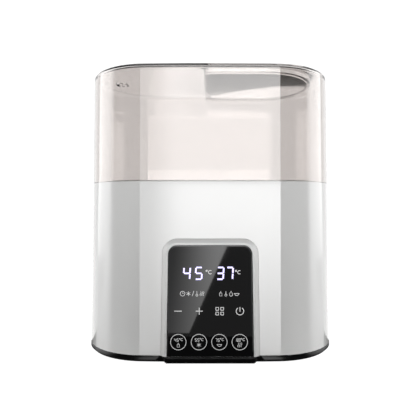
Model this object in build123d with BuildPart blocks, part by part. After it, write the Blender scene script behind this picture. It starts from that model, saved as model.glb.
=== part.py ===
from build123d import *
import math
import os

# Two-bottle warmer: a white housing on a black base, a water tank with a heated floor,
# a basket for two bottles and a clear lift-off cover. Millimetres, +Z up, front towards -Y,
# origin on the standing surface under the middle of the housing.

# ---------------------------------------------------------------- driving dimensions
rim_width = 230.0            # outline where the cover meets the housing
rim_depth = 118.0
side_bow = 1.2               # the long sides bulge by this much between the creases
crease_x = 61.0              # a crisp crease where a long side meets a round end
foot_lift = 1.5              # the rubber feet stand this far out of the base
base_height = 6.0
housing_height = 150.5
cover_height = 103.5
housing_draft = 0.8          # degrees
cover_draft = 0.6
housing_wall = 2.8
cover_wall = 2.5
well_spacing = 91.0          # between the two bottles' centres
well_diameter = 76.0

crease_y = rim_depth / 2 - side_bow
end_centre = (rim_width**2 / 4 - crease_y**2 - crease_x**2) / (rim_width - 2 * crease_x)
end_radius = rim_width / 2 - end_centre
base_top = foot_lift + base_height
rim_level = base_top + housing_height
cover_top = rim_level + cover_height
housing_spread = housing_height * math.tan(math.radians(housing_draft))
signs = [(1, 1), (-1, 1), (-1, -1), (1, -1)]
os.makedirs("parts", exist_ok=True)


def outline(level, inset):
    """The plan outline at a height: round ends and bowed long sides, drawn inside the rim's by inset."""
    side = rim_width / 2 - inset
    front = rim_depth / 2 - inset
    corner = crease_y - inset
    with BuildSketch(Plane.XY.offset(level)) as face:
        with BuildLine():
            ThreePointArc((crease_x, -corner), (side, 0), (crease_x, corner))
            ThreePointArc((crease_x, corner), (0, front), (-crease_x, corner))
            ThreePointArc((-crease_x, corner), (-side, 0), (-crease_x, -corner))
            ThreePointArc((-crease_x, -corner), (0, -front), (crease_x, -corner))
        make_face()
    return face.sketch


def racetrack(level, length, width):
    """A plain full-round slot shape, centred, for the heater's pieces."""
    with BuildSketch(Plane.XY.offset(level)) as face:
        SlotOverall(length, width)
    return face.sketch


def finish(builder, name):
    """Labels a finished piece and writes it."""
    builder.part.label = name
    export_step(builder.part, "parts/" + name + ".step")


# ---------------------------------------------------------------- clear cover
cover_edge = 4.5
recess_depth = 6.0
recess_wall = 2.0
recess_half = 47.0           # front and back edges of the grip recess
recess_start = -3.0          # its straight edge, near the middle
recess_end = 97.0
recess_corner = 5.0
vent_x = -89.0
vent_y = 4.0
vent_slot_length = 12.0
vent_slot_width = 3.0
vent_hole_radius = 1.3
vent_pitch = 4.5
recess_floor = cover_top - recess_depth


def recess_shape(level, grow):
    """The D-shaped plan of the grip recess: one straight edge and one half-round end."""
    half = recess_half + grow
    round_centre = recess_end - recess_half
    with BuildSketch(Plane.XY.offset(level)) as face:
        with BuildLine():
            Line((round_centre, half), (recess_start - grow, half))
            Line((recess_start - grow, half), (recess_start - grow, -half))
            Line((recess_start - grow, -half), (round_centre, -half))
            ThreePointArc((round_centre, -half), (round_centre + half, 0), (round_centre, half))
        make_face()
        fillet(face.vertices().group_by(Axis.X)[0], recess_corner)
    return face.sketch


with BuildPart() as clear_cover:
    extrude(outline(rim_level, 0), amount=cover_height, taper=cover_draft)
    fillet(clear_cover.faces().sort_by(Axis.Z)[-1].edges(), cover_edge)
    extrude(outline(rim_level, cover_wall), amount=cover_height - cover_wall, taper=cover_draft, mode=Mode.SUBTRACT)
    extrude(recess_shape(recess_floor - recess_wall, recess_wall), amount=recess_depth)
    extrude(recess_shape(recess_floor, 0), amount=recess_depth, mode=Mode.SUBTRACT)
    with BuildSketch(Plane.XY.offset(cover_top)):
        with Locations((vent_x - vent_pitch, vent_y)):
            SlotOverall(vent_slot_length, vent_slot_width, rotation=90)
        with Locations((vent_x + vent_pitch / 2, vent_y)):
            with GridLocations(vent_pitch, vent_pitch, 2, 3):
                Circle(vent_hole_radius)
    extrude(amount=-2 * cover_wall, mode=Mode.SUBTRACT)
finish(clear_cover, "clear_cover")

# ---------------------------------------------------------------- control panel's plane
panel_proud = 3.5            # the panel stands this far in front of the housing
panel_low = 7.7              # height of the panel's lower edge, just above the base
panel_top = 102.5
panel_half_top = 36.0
panel_half_low = 37.2
panel_corner = 7.5
bezel_edge = 2.0             # flat bright edge around the glass
bezel_bevel = 3.5
glass_sink = 0.3
glass_thickness = 2.0
glass_gap = 0.1
ledge = 3.0                  # the glass rests on this much of the bezel
ledge_thickness = 2.0
bezel_depth = 8.0            # from the bezel's front to its back, through the housing wall
housing_front = rim_depth / 2 + housing_spread
panel_plane = Plane(
    origin=(0, -housing_front - panel_proud, base_top),
    x_dir=(1, 0, 0),
    z_dir=(0, -math.cos(math.radians(housing_draft)), math.sin(math.radians(housing_draft))),
)
panel_base = panel_low - base_top


def arch(depth, grow, low_grow):
    """The arch-topped panel shape on a plane behind the panel's front, grown or shrunk all round."""
    slope = (panel_half_low - panel_half_top) / (panel_top - panel_low)
    low = panel_base - low_grow
    top = panel_top - base_top + grow
    half_low = panel_half_low + grow + slope * low_grow
    half_top = panel_half_top + grow
    with BuildSketch(panel_plane.offset(-depth)) as face:
        with BuildLine():
            Polyline((-half_low, low), (half_low, low), (half_top, top), (-half_top, top), close=True)
        make_face()
        fillet(face.vertices().group_by(Axis.Y)[-1], panel_corner + grow)
    return face.sketch


# ---------------------------------------------------------------- outer housing
housing_gap = 0.15           # between the bezel and its opening
top_ring = 10.0              # the housing's ring turns inwards by this much
tank_seat = 4.0              # the tank's rim lies this far down inside the housing's edge
seat_level = rim_level - tank_seat
boss_spots = [(94.0 * sx, 35.0 * sy) for sx, sy in signs] + [(52.0 * sx, 51.5 * sy) for sx, sy in signs]
boss_radius = 4.0
boss_rib = 5.0
boss_low = 10.0
boss_high = 19.0
pilot_radius = 1.3
rib_thickness = 1.6
hole_end = 1.0               # blind holes stop this far from the far side
outer_reach = 16.0           # cuts on the panel's plane run this far forward
inlet_x = 40.0
inlet_z = 30.0
inlet_pad_width = 36.0
inlet_pad_height = 29.0
inlet_pad_corner = 3.0
inlet_pad_depth = 6.0
inlet_face = housing_front + 0.8
inlet_hole_width = 27.4
inlet_hole_height = 20.4
tank_screw_inset = 7.0
tank_screw_hole = 1.7
tank_screw_spots = [(end_centre * sx, (end_radius - tank_screw_inset) * sy) for sx, sy in signs]
tank_screw_spots = tank_screw_spots + [((rim_width / 2 - tank_screw_inset) * sx, 0) for sx in (1, -1)]

with BuildPart() as outer_housing:
    extrude(outline(base_top, -housing_spread), amount=housing_height, taper=housing_draft)
    with BuildSketch(Plane.XZ.offset(-inlet_face)):
        with Locations((inlet_x, inlet_z)):
            RectangleRounded(inlet_pad_width, inlet_pad_height, inlet_pad_corner)
    extrude(amount=inlet_pad_depth)
    extrude(
        outline(base_top, housing_wall - housing_spread),
        amount=housing_height - tank_seat - housing_wall,
        taper=housing_draft,
        mode=Mode.SUBTRACT,
    )
    extrude(outline(seat_level - 2 * housing_wall, top_ring), amount=3 * housing_wall, mode=Mode.SUBTRACT)
    extrude(outline(seat_level, housing_wall), amount=2 * tank_seat, mode=Mode.SUBTRACT)
    with BuildSketch(Plane.XY.offset(boss_low)):
        with Locations(*boss_spots):
            Circle(boss_radius)
    extrude(amount=boss_high - boss_low)
    for x, y in boss_spots:
        away = math.atan2(y, x - math.copysign(min(abs(x), end_centre), x))
        with BuildSketch(Plane.XY.offset(boss_low)):
            with Locations(Location((x, y, 0), (0, 0, math.degrees(away)))):
                with Locations((boss_rib / 2 + boss_radius / 2, 0)):
                    Rectangle(boss_rib, rib_thickness)
        extrude(amount=boss_high - boss_low)
    with Locations(*[(x, y, boss_low) for x, y in boss_spots]):
        with Locations(Location((0, 0, 0), (180, 0, 0))):
            Hole(pilot_radius, depth=boss_high - boss_low - hole_end)
    extrude(
        arch(bezel_depth + 4.0, bezel_edge + bezel_bevel + housing_gap, panel_low - foot_lift),
        amount=outer_reach,
        mode=Mode.SUBTRACT,
    )
    with BuildSketch(Plane.XZ.offset(-inlet_face - 1.0)):
        with Locations((inlet_x, inlet_z)):
            RectangleRounded(inlet_hole_width, inlet_hole_height, 2.0)
    extrude(amount=inlet_pad_depth + 4.0, mode=Mode.SUBTRACT)
    with Locations(*[(x, y, seat_level) for x, y in tank_screw_spots]):
        Hole(tank_screw_hole, depth=2 * housing_wall)
finish(outer_housing, "outer_housing")

# ---------------------------------------------------------------- black base tray
tray_floor = 2.5
tray_edge = 2.1              # bevelled lower edge
tray_wall = 4.0
tray_lip = 2.0               # stands up inside the housing's wall
lip_gap = 0.3
plinth_width = 80.0
plinth_proud = 4.0
plinth_corner = 2.4
foot_radius = 7.0
foot_recess = 1.0
foot_spots = [(82.0 * sx, 27.0 * sy) for sx, sy in signs]
tray_top = foot_lift + tray_floor
screw_head_radius = 2.8
screw_head_height = 2.2
screw_shank_radius = 1.2
screw_clear_radius = 1.7
power_board_level = 12.0
board_boss_radius = 3.0
head_room = 0.8              # a screw head sits this much deeper than its own height
power_board_spots = [(48.0 * sx - 6.0, 26.0 * sy) for sx, sy in signs]
vent_rows = 9
vent_row_pitch = 7.0
tray_vent_length = 16.0
tray_vent_width = 2.0

with BuildPart() as base_tray:
    extrude(outline(foot_lift, -housing_spread), amount=base_height)
    with BuildSketch(Plane.XY.offset(foot_lift)):
        with Locations((0, -housing_front)):
            Rectangle(plinth_width, 2 * plinth_proud)
    extrude(amount=base_height)
    fillet(base_tray.edges().filter_by(Axis.Z).group_by(Axis.Y)[0], plinth_corner)
    chamfer(base_tray.faces().sort_by(Axis.Z)[0].edges(), tray_edge)
    extrude(outline(tray_top, tray_wall - housing_spread), amount=base_height, mode=Mode.SUBTRACT)
    extrude(outline(base_top - 1.0, housing_wall + lip_gap - housing_spread), amount=tray_lip + 1.0)
    extrude(outline(tray_top, tray_wall + 1.5 - housing_spread), amount=base_height + tray_lip, mode=Mode.SUBTRACT)
    extrude(
        arch(bezel_depth + 1.0, bezel_edge + bezel_bevel + 1.0, panel_base),
        amount=outer_reach,
        mode=Mode.SUBTRACT,
    )
    with BuildSketch(Plane.XY.offset(foot_lift)):
        with Locations(*boss_spots):
            Circle(boss_radius + 0.5)
    extrude(amount=boss_low - foot_lift)
    with BuildSketch(Plane.XY.offset(foot_lift)):
        with Locations(*power_board_spots):
            Circle(board_boss_radius)
    extrude(amount=power_board_level - foot_lift)
    with Locations(*[(x, y, power_board_level) for x, y in power_board_spots]):
        Hole(pilot_radius, depth=power_board_level - foot_lift - hole_end)
    with BuildSketch(Plane.XY.offset(foot_lift)):
        with Locations(*boss_spots):
            Circle(screw_head_radius + 0.5)
    extrude(amount=screw_head_height + head_room, mode=Mode.SUBTRACT)
    with BuildSketch(Plane.XY.offset(foot_lift)):
        with Locations(*boss_spots):
            Circle(screw_clear_radius)
    extrude(amount=boss_low - foot_lift, mode=Mode.SUBTRACT)
    with BuildSketch(Plane.XY.offset(foot_lift)):
        with Locations(*foot_spots):
            Circle(foot_radius + 0.2)
    extrude(amount=foot_recess, mode=Mode.SUBTRACT)
    with BuildSketch(Plane.XY.offset(foot_lift)):
        with GridLocations(vent_row_pitch, 0, vent_rows, 1):
            SlotOverall(tray_vent_length, tray_vent_width, rotation=90)
    extrude(amount=tray_floor, mode=Mode.SUBTRACT)
finish(base_tray, "base_tray")

with BuildPart() as rubber_feet:
    with BuildSketch():
        with Locations(*foot_spots):
            Circle(foot_radius)
    extrude(amount=foot_lift + foot_recess)
    chamfer(rubber_feet.edges().group_by(Axis.Z)[0], 0.5)
finish(rubber_feet, "rubber_feet")

# ---------------------------------------------------------------- screws
cross_width = 0.6
cross_depth = 1.2
head_round = 0.8


def pan_screws(spots, level, direction, shank, head_radius=screw_head_radius):
    """Pan-head screws with a cross recess: the heads' undersides at a level, shanks along +Z or -Z."""
    with BuildPart() as group:
        with BuildSketch(Plane.XY.offset(level)):
            with Locations(*spots):
                Circle(head_radius)
        extrude(amount=-direction * screw_head_height)
        fillet(group.faces().group_by(Axis.Z)[0 if direction > 0 else -1].edges(), head_round)
        with BuildSketch(Plane.XY.offset(level - direction * screw_head_height)):
            with Locations(*spots):
                Rectangle(head_radius * 1.2, cross_width)
                Rectangle(cross_width, head_radius * 1.2)
        extrude(amount=direction * cross_depth, mode=Mode.SUBTRACT)
        with BuildSketch(Plane.XY.offset(level)):
            with Locations(*spots):
                Circle(screw_shank_radius)
        extrude(amount=direction * shank)
    return group


base_screw_length = 12.0
base_screws = pan_screws(boss_spots, foot_lift + screw_head_height + head_room, 1, base_screw_length)
finish(base_screws, "base_screws")

# ---------------------------------------------------------------- water tank
collar_gap = 0.5             # between the tank's rim and the housing and cover around it
tank_rim_height = 5.0        # the last millimetre stands up inside the cover
tank_wall = 2.0
tank_outer_inset = 11.0
tank_draft = 1.0
tank_floor_level = 58.0
tank_floor = 2.5
rim_round = 0.6
pad_height = 2.5             # thick ring under the tank's floor that takes the clamp screws
plate_opening_length = 146.0
plate_opening_width = 46.0
pad_length = 176.0
pad_width = 76.0
clamp_length = 174.0
clamp_width = 74.0
plate_length = 158.0
plate_width = 58.0
clamp_screw_spots = [(54.0 * sx, 33.0 * sy) for sx, sy in signs]
clamp_screw_spots = clamp_screw_spots + [(0, 33.0), (0, -33.0), (83.0, 0), (-83.0, 0)]
tank_depth = seat_level + tank_rim_height - tank_floor_level
tank_low_inset = tank_outer_inset + tank_depth * math.tan(math.radians(tank_draft))

with BuildPart() as water_tank:
    extrude(outline(seat_level, housing_wall + collar_gap), amount=tank_rim_height)
    extrude(outline(tank_floor_level, tank_low_inset), amount=tank_depth, taper=-tank_draft)
    fillet(water_tank.faces().sort_by(Axis.Z)[-1].edges(), rim_round)
    extrude(racetrack(tank_floor_level - pad_height, pad_length, pad_width), amount=pad_height)
    extrude(
        outline(tank_floor_level + tank_floor, tank_low_inset + tank_wall),
        amount=tank_depth,
        taper=-tank_draft,
        mode=Mode.SUBTRACT,
    )
    extrude(
        racetrack(tank_floor_level - pad_height, plate_opening_length, plate_opening_width),
        amount=pad_height + tank_floor,
        mode=Mode.SUBTRACT,
    )
    extrude(
        racetrack(tank_floor_level - pad_height, plate_length + 1.0, plate_width + 1.0),
        amount=pad_height,
        mode=Mode.SUBTRACT,
    )
    with BuildSketch(Plane.XY.offset(tank_floor_level - pad_height)):
        with Locations(*clamp_screw_spots):
            Circle(pilot_radius)
    extrude(amount=pad_height + hole_end, mode=Mode.SUBTRACT)
    with BuildSketch(Plane.XY.offset(seat_level)):
        with Locations(*tank_screw_spots):
            Circle(pilot_radius)
    extrude(amount=tank_rim_height - hole_end, mode=Mode.SUBTRACT)
finish(water_tank, "water_tank")

tank_screws = pan_screws(tank_screw_spots, seat_level - housing_wall, 1, housing_wall + 2.5)
finish(tank_screws, "tank_screws")

# ---------------------------------------------------------------- heater under the tank
gasket_thickness = 1.0
plate_thickness = 1.5
plate_raise = 2.0            # the plate's middle stands up through the tank's floor
plate_round = 0.8
plate_gap = 2.0
clamp_thickness = 2.0
clamp_level = tank_floor_level - pad_height - clamp_thickness
plate_rim_level = tank_floor_level - gasket_thickness - plate_thickness
element_radius = 3.2
element_half_length = 58.0
element_half_width = 15.0
element_bend = 12.0
terminal_x = 7.0
terminal_bend = 5.0
terminal_radius = 1.4
terminal_nut_radius = 2.6
terminal_length = 5.0

with BuildPart() as heating_plate:
    extrude(racetrack(plate_rim_level, plate_length, plate_width), amount=plate_thickness)
    extrude(
        racetrack(plate_rim_level, plate_opening_length - plate_gap, plate_opening_width - plate_gap),
        amount=plate_thickness + plate_raise,
    )
    fillet(heating_plate.faces().sort_by(Axis.Z)[-1].edges(), plate_round)
    extrude(
        racetrack(plate_rim_level, plate_opening_length - 3 * plate_gap, plate_opening_width - 3 * plate_gap),
        amount=plate_raise,
        mode=Mode.SUBTRACT,
    )
finish(heating_plate, "heating_plate")

with BuildPart() as plate_gasket:
    extrude(racetrack(tank_floor_level - gasket_thickness, plate_length, plate_width), amount=gasket_thickness)
    extrude(
        racetrack(tank_floor_level - gasket_thickness, plate_opening_length, plate_opening_width),
        amount=gasket_thickness,
        mode=Mode.SUBTRACT,
    )
finish(plate_gasket, "plate_gasket")

with BuildPart() as clamp_ring:
    extrude(racetrack(clamp_level, clamp_length, clamp_width), amount=clamp_thickness)
    extrude(
        racetrack(clamp_level, plate_opening_length, plate_opening_width),
        amount=clamp_thickness,
        mode=Mode.SUBTRACT,
    )
    with Locations(*[(x, y, clamp_level + clamp_thickness) for x, y in clamp_screw_spots]):
        Hole(screw_clear_radius, depth=clamp_thickness)
finish(clamp_ring, "clamp_ring")

clamp_screws = pan_screws(clamp_screw_spots, clamp_level, 1, clamp_thickness + pad_height + 0.5)
finish(clamp_screws, "clamp_screws")

element_level = plate_rim_level + plate_raise - element_radius + 0.2
element_drop = 9.0


def tube(points, bend, radius):
    """A round rod or lead along straight runs joined by arcs."""
    with BuildPart() as run:
        with BuildLine() as path:
            FilletPolyline(*points, radius=bend)
        with BuildSketch(Plane(origin=path.line @ 0, z_dir=path.line % 0)):
            Circle(radius)
        sweep()
    return run.part


with BuildPart() as heating_element:
    add(
        tube(
            [
                (terminal_x, -element_half_width, element_level - element_drop),
                (terminal_x, -element_half_width, element_level),
                (element_half_length, -element_half_width, element_level),
                (element_half_length, element_half_width, element_level),
                (-element_half_length, element_half_width, element_level),
                (-element_half_length, -element_half_width, element_level),
                (-terminal_x, -element_half_width, element_level),
                (-terminal_x, -element_half_width, element_level - element_drop),
            ],
            [terminal_bend] + [element_bend] * 4 + [terminal_bend],
            element_radius,
        )
    )
finish(heating_element, "heating_element")

terminal_level = element_level - element_drop
with BuildPart() as heater_terminals:
    with BuildSketch(Plane.XY.offset(terminal_level)):
        with Locations((terminal_x, -element_half_width), (-terminal_x, -element_half_width)):
            Circle(terminal_radius)
    extrude(amount=-terminal_length)
    with BuildSketch(Plane.XY.offset(terminal_level - 1.0)):
        with Locations((terminal_x, -element_half_width), (-terminal_x, -element_half_width)):
            Circle(terminal_nut_radius)
    extrude(amount=-1.5)
finish(heater_terminals, "heater_terminals")

cutout_level = plate_rim_level + plate_raise
cutout_radius = 8.0
cutout_height = 6.0
cutout_cap_radius = 6.5
cutout_cap_height = 3.0
cutout_tab_pitch = 8.0
cutout_tab_width = 4.8
cutout_tab_thickness = 0.8
cutout_tab_length = 4.0
with BuildPart() as thermal_cutout:
    with BuildSketch(Plane.XY.offset(cutout_level)):
        Circle(cutout_radius)
    extrude(amount=-cutout_height)
    with BuildSketch(Plane.XY.offset(cutout_level - cutout_height)):
        Circle(cutout_cap_radius)
    extrude(amount=-cutout_cap_height)
    with BuildSketch(Plane.XY.offset(cutout_level - cutout_height - cutout_cap_height)):
        with GridLocations(cutout_tab_pitch, 0, 2, 1):
            Rectangle(cutout_tab_thickness, cutout_tab_width)
    extrude(amount=-cutout_tab_length)
finish(thermal_cutout, "thermal_cutout")

link_x = -37.0
link_radius = 2.0
link_length = 14.0
link_wire_radius = 0.5
link_wire_length = 26.0
link_level = cutout_level - link_radius - 0.2
with BuildPart() as thermal_fuse:
    with BuildSketch(Plane.YZ.offset(link_x - link_length / 2)):
        with Locations((0, link_level)):
            Circle(link_radius)
    extrude(amount=link_length)
    with BuildSketch(Plane.YZ.offset(link_x - link_wire_length / 2)):
        with Locations((0, link_level)):
            Circle(link_wire_radius)
    extrude(amount=link_wire_length)
finish(thermal_fuse, "thermal_fuse")

sensor_x = 26.0
sensor_radius = 2.5
sensor_length = 9.0
with BuildPart() as temperature_sensor:
    with BuildSketch(Plane.XY.offset(cutout_level)):
        with Locations((sensor_x, 0)):
            Circle(sensor_radius)
    extrude(amount=-sensor_length)
    fillet(temperature_sensor.faces().sort_by(Axis.Z)[0].edges(), 1.0)
finish(temperature_sensor, "temperature_sensor")

shield_level = 37.0
shield_sheet = 0.8
shield_length = 150.0
shield_width = 50.0
shield_bend = 2.0
shield_slot_length = 26.0
shield_slot_width = 9.0
with BuildPart() as heat_shield:
    extrude(racetrack(shield_level, shield_length, shield_width), amount=clamp_level - shield_level)
    fillet(heat_shield.faces().sort_by(Axis.Z)[0].edges(), shield_bend)
    extrude(
        racetrack(shield_level + shield_sheet, shield_length - 2 * shield_sheet, shield_width - 2 * shield_sheet),
        amount=clamp_level,
        mode=Mode.SUBTRACT,
    )
    with BuildSketch(Plane.XY.offset(shield_level)):
        with Locations((0, -element_half_width)):
            SlotOverall(shield_slot_length, shield_slot_width)
    extrude(amount=2 * shield_sheet, mode=Mode.SUBTRACT)
finish(heat_shield, "heat_shield")

# ---------------------------------------------------------------- bottle basket
basket_gap = 3.0
basket_low = 62.5
basket_wall = 1.8
basket_deck_low = 130.0
deck_thickness = 2.0
deck_top = basket_deck_low + deck_thickness
basket_inset = tank_low_inset + tank_wall + basket_gap
handle_top = 151.0
handle_bar = 5.0
handle_half = 24.0
handle_corner = 6.0
window_width = 9.0
window_pitch = 17.0
window_count = 7
window_margin = 10.0
floor_hole = 3.5
floor_hole_pitch = 16.0
basket_round = 1.5
deck_round = 0.8
handle_round = 1.0

with BuildPart() as bottle_basket:
    extrude(outline(basket_low, basket_inset), amount=basket_deck_low - basket_low)
    fillet(bottle_basket.edges().group_by(Axis.Z)[0], basket_round)
    extrude(
        outline(basket_low + basket_wall, basket_inset + basket_wall),
        amount=basket_deck_low - basket_low,
        mode=Mode.SUBTRACT,
    )
    with BuildSketch(Plane.XY.offset(basket_low)):
        with GridLocations(well_spacing, 0, 2, 1):
            with GridLocations(floor_hole_pitch, floor_hole_pitch, 4, 3):
                Circle(floor_hole)
    extrude(amount=basket_wall, mode=Mode.SUBTRACT)
    with BuildSketch(Plane.XZ.offset(-rim_depth / 2)):
        with Locations((0, (basket_low + basket_deck_low) / 2)):
            with GridLocations(window_pitch, 0, window_count, 1):
                SlotOverall(basket_deck_low - basket_low - 2 * window_margin, window_width, rotation=90)
    extrude(amount=rim_depth, mode=Mode.SUBTRACT)
finish(bottle_basket, "bottle_basket")

with BuildPart() as basket_deck:
    extrude(outline(basket_deck_low, basket_inset), amount=deck_thickness)
    fillet(basket_deck.edges().group_by(Axis.Z)[-1], deck_round)
    with BuildSketch(Plane.XY.offset(basket_deck_low)):
        with GridLocations(well_spacing, 0, 2, 1):
            Circle(well_diameter / 2)
    extrude(amount=deck_thickness, mode=Mode.SUBTRACT)
finish(basket_deck, "basket_deck")

with BuildPart() as basket_handle:
    with BuildSketch(Plane.YZ.offset(-handle_bar / 2)):
        with Locations((0, deck_top)):
            Rectangle(2 * handle_half, handle_top - deck_top, align=(Align.CENTER, Align.MIN))
            Rectangle(
                2 * (handle_half - handle_bar),
                handle_top - deck_top - handle_bar,
                align=(Align.CENTER, Align.MIN),
                mode=Mode.SUBTRACT,
            )
    extrude(amount=handle_bar)
    fillet(basket_handle.edges().filter_by(Axis.X).group_by(Axis.Z)[-1], handle_corner)
    fillet(basket_handle.faces().sort_by(Axis.Z)[-1].edges().filter_by(Axis.Y), handle_round)
finish(basket_handle, "basket_handle")

# ---------------------------------------------------------------- bezel and glass
board_depth = 11.0           # front of the touch board, behind the panel's front
board_thickness = 1.6
board_half_width = 36.5
board_low = 6.0              # heights on the panel's own plane, from its lower edge line
board_high = 92.0
board_spots = [(33.6, 85.0), (-33.6, 85.0), (-34.2, 10.0), (34.2, 10.0)]
post_radius = 2.8
post_hole_depth = 5.0


def on_panel(depth):
    """The panel's plane, moved back into the housing."""
    return panel_plane.offset(-depth)


with BuildPart() as panel_bezel:
    extrude(arch(panel_proud, bezel_edge + bezel_bevel, 0), amount=panel_proud, taper=45)
    extrude(arch(bezel_depth, bezel_edge + bezel_bevel, 0), amount=bezel_depth - panel_proud)
    extrude(arch(glass_sink + glass_thickness, glass_gap, glass_gap), amount=2 * panel_proud, mode=Mode.SUBTRACT)
    extrude(arch(bezel_depth, -ledge, -ledge), amount=bezel_depth, mode=Mode.SUBTRACT)
    extrude(
        arch(bezel_depth, bezel_edge, -ledge),
        amount=bezel_depth - glass_sink - glass_thickness - ledge_thickness,
        mode=Mode.SUBTRACT,
    )
    with BuildSketch(on_panel(board_depth)):
        with Locations(*board_spots):
            Circle(post_radius)
    extrude(amount=board_depth - glass_sink - glass_thickness - ledge_thickness)
    with BuildSketch(on_panel(board_depth)):
        with Locations(*board_spots):
            Circle(pilot_radius)
    extrude(amount=post_hole_depth, mode=Mode.SUBTRACT)
finish(panel_bezel, "panel_bezel")

with BuildPart() as control_glass:
    extrude(arch(glass_sink + glass_thickness, 0, 0), amount=glass_thickness)
    chamfer(control_glass.faces().sort_by(Axis.Y)[0].edges(), 0.3)
finish(control_glass, "control_glass")

# ---------------------------------------------------------------- behind the glass
display_height = 71.4        # middle of the digits, on the panel's plane
display_length = 56.0
display_width = 19.0
display_gap = 1.0
upper_keys = [(x, 39.0) for x in (-27.5, -9.3, 8.0, 25.7)]
lower_keys = [(x, 12.7) for x in (-27.2, -9.6, 7.8, 25.2)]
spring_outer = 3.0
spring_inner = 2.2
glass_back = glass_sink + glass_thickness
board_head_radius = 2.4
board_head_height = 1.4
board_cross_length = 2.8
board_cross_depth = 0.8

with BuildPart() as touch_board:
    with BuildSketch(on_panel(board_depth + board_thickness)):
        with Locations((0, (board_low + board_high) / 2)):
            RectangleRounded(2 * board_half_width, board_high - board_low, 2.0)
        with Locations(*board_spots):
            Circle(screw_clear_radius, mode=Mode.SUBTRACT)
    extrude(amount=board_thickness)
finish(touch_board, "touch_board")

with BuildPart() as digit_display:
    with BuildSketch(on_panel(board_depth)):
        with Locations((0, display_height)):
            Rectangle(display_length, display_width)
    extrude(amount=board_depth - glass_back - display_gap)
    chamfer(digit_display.faces().sort_by(Axis.Y)[0].edges(), 0.4)
finish(digit_display, "digit_display")

with BuildPart() as touch_springs:
    with BuildSketch(on_panel(board_depth)):
        with Locations(*upper_keys, *lower_keys):
            Circle(spring_outer)
            Circle(spring_inner, mode=Mode.SUBTRACT)
    extrude(amount=board_depth - glass_back)
finish(touch_springs, "touch_springs")

with BuildPart() as touch_board_screws:
    with BuildSketch(on_panel(board_depth + board_thickness)):
        with Locations(*board_spots):
            Circle(board_head_radius)
    extrude(amount=-board_head_height)
    with BuildSketch(on_panel(board_depth + board_thickness + board_head_height)):
        with Locations(*board_spots):
            Rectangle(board_cross_length, cross_width)
            Rectangle(cross_width, board_cross_length)
    extrude(amount=board_cross_depth, mode=Mode.SUBTRACT)
    with BuildSketch(on_panel(board_depth + board_thickness)):
        with Locations(*board_spots):
            Circle(screw_shank_radius)
    extrude(amount=board_thickness + post_hole_depth - 0.5)
finish(touch_board_screws, "touch_board_screws")

# ---------------------------------------------------------------- power board
power_board_length = 106.0
power_board_width = 60.0
power_board_x = -6.0
power_board_top = power_board_level + board_thickness

with BuildPart() as power_board:
    with BuildSketch(Plane.XY.offset(power_board_level)):
        with Locations((power_board_x, 0)):
            RectangleRounded(power_board_length, power_board_width, 2.0)
        with Locations(*power_board_spots):
            Circle(screw_clear_radius, mode=Mode.SUBTRACT)
    extrude(amount=board_thickness)
finish(power_board, "power_board")

power_screw_reach = 5.0
power_board_screws = pan_screws(power_board_spots, power_board_top, -1, board_thickness + power_screw_reach)
finish(power_board_screws, "power_board_screws")


def board_box(x, y, length, width, height, edge):
    """A moulded block standing on the power board, with softened upper edges."""
    with BuildPart() as block:
        with BuildSketch(Plane.XY.offset(power_board_top)):
            with Locations((x, y)):
                Rectangle(length, width)
        extrude(amount=height)
        chamfer(block.faces().sort_by(Axis.Z)[-1].edges(), edge)
    return block


def board_can(spots, height, edge):
    """Round cans standing on the power board: a list of x, y and radius."""
    with BuildPart() as cans:
        with BuildSketch(Plane.XY.offset(power_board_top)):
            for x, y, radius in spots:
                with Locations((x, y)):
                    Circle(radius)
        extrude(amount=height)
        fillet(cans.faces().group_by(Axis.Z)[-1].edges(), edge)
    return cans


relay = board_box(28.0, -12.0, 19.0, 15.5, 15.5, 0.5)
finish(relay, "relay")
safety_capacitor = board_box(0.0, 18.0, 18.0, 8.0, 14.0, 0.8)
finish(safety_capacitor, "safety_capacitor")
smoothing_capacitors = board_can([(-42.0, -8.0, 5.0), (-42.0, 7.0, 5.0)], 15.0, 0.8)
finish(smoothing_capacitors, "smoothing_capacitors")

core_x = -20.0
bobbin_flange = 2.0
winding_height = 11.0
core_lift = 3.0
core_height = 12.0
with BuildPart() as transformer:
    with BuildSketch(Plane.XY.offset(power_board_top)):
        with Locations((core_x, 0)):
            Rectangle(18.0, 20.0)
    extrude(amount=bobbin_flange)
    with BuildSketch(Plane.XY.offset(power_board_top + bobbin_flange)):
        with Locations((core_x, 0)):
            RectangleRounded(13.0, 17.0, 3.0)
    extrude(amount=winding_height)
    with BuildSketch(Plane.XY.offset(power_board_top + core_lift)):
        with Locations((core_x, 0)):
            Rectangle(17.0, 8.0)
    extrude(amount=core_height)
finish(transformer, "transformer")

buzzer = board_can([(-36.0, -21.0, 6.0)], 9.0, 0.6)
finish(buzzer, "buzzer")

fuse_x = 30.0
fuse_y = 6.0
fuse_radius = 2.6
fuse_length = 20.0
clip_height = 4.0
clip_pitch = 14.0
fuse_level = power_board_top + clip_height
with BuildPart() as mains_fuse:
    with BuildSketch(Plane.YZ.offset(fuse_x - fuse_length / 2)):
        with Locations((fuse_y, fuse_level)):
            Circle(fuse_radius)
    extrude(amount=fuse_length)
    with BuildSketch(Plane.XY.offset(power_board_top)):
        with Locations((fuse_x, fuse_y)):
            with GridLocations(clip_pitch, 0, 2, 1):
                Rectangle(3.0, 6.5)
    extrude(amount=clip_height)
finish(mains_fuse, "mains_fuse")

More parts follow.
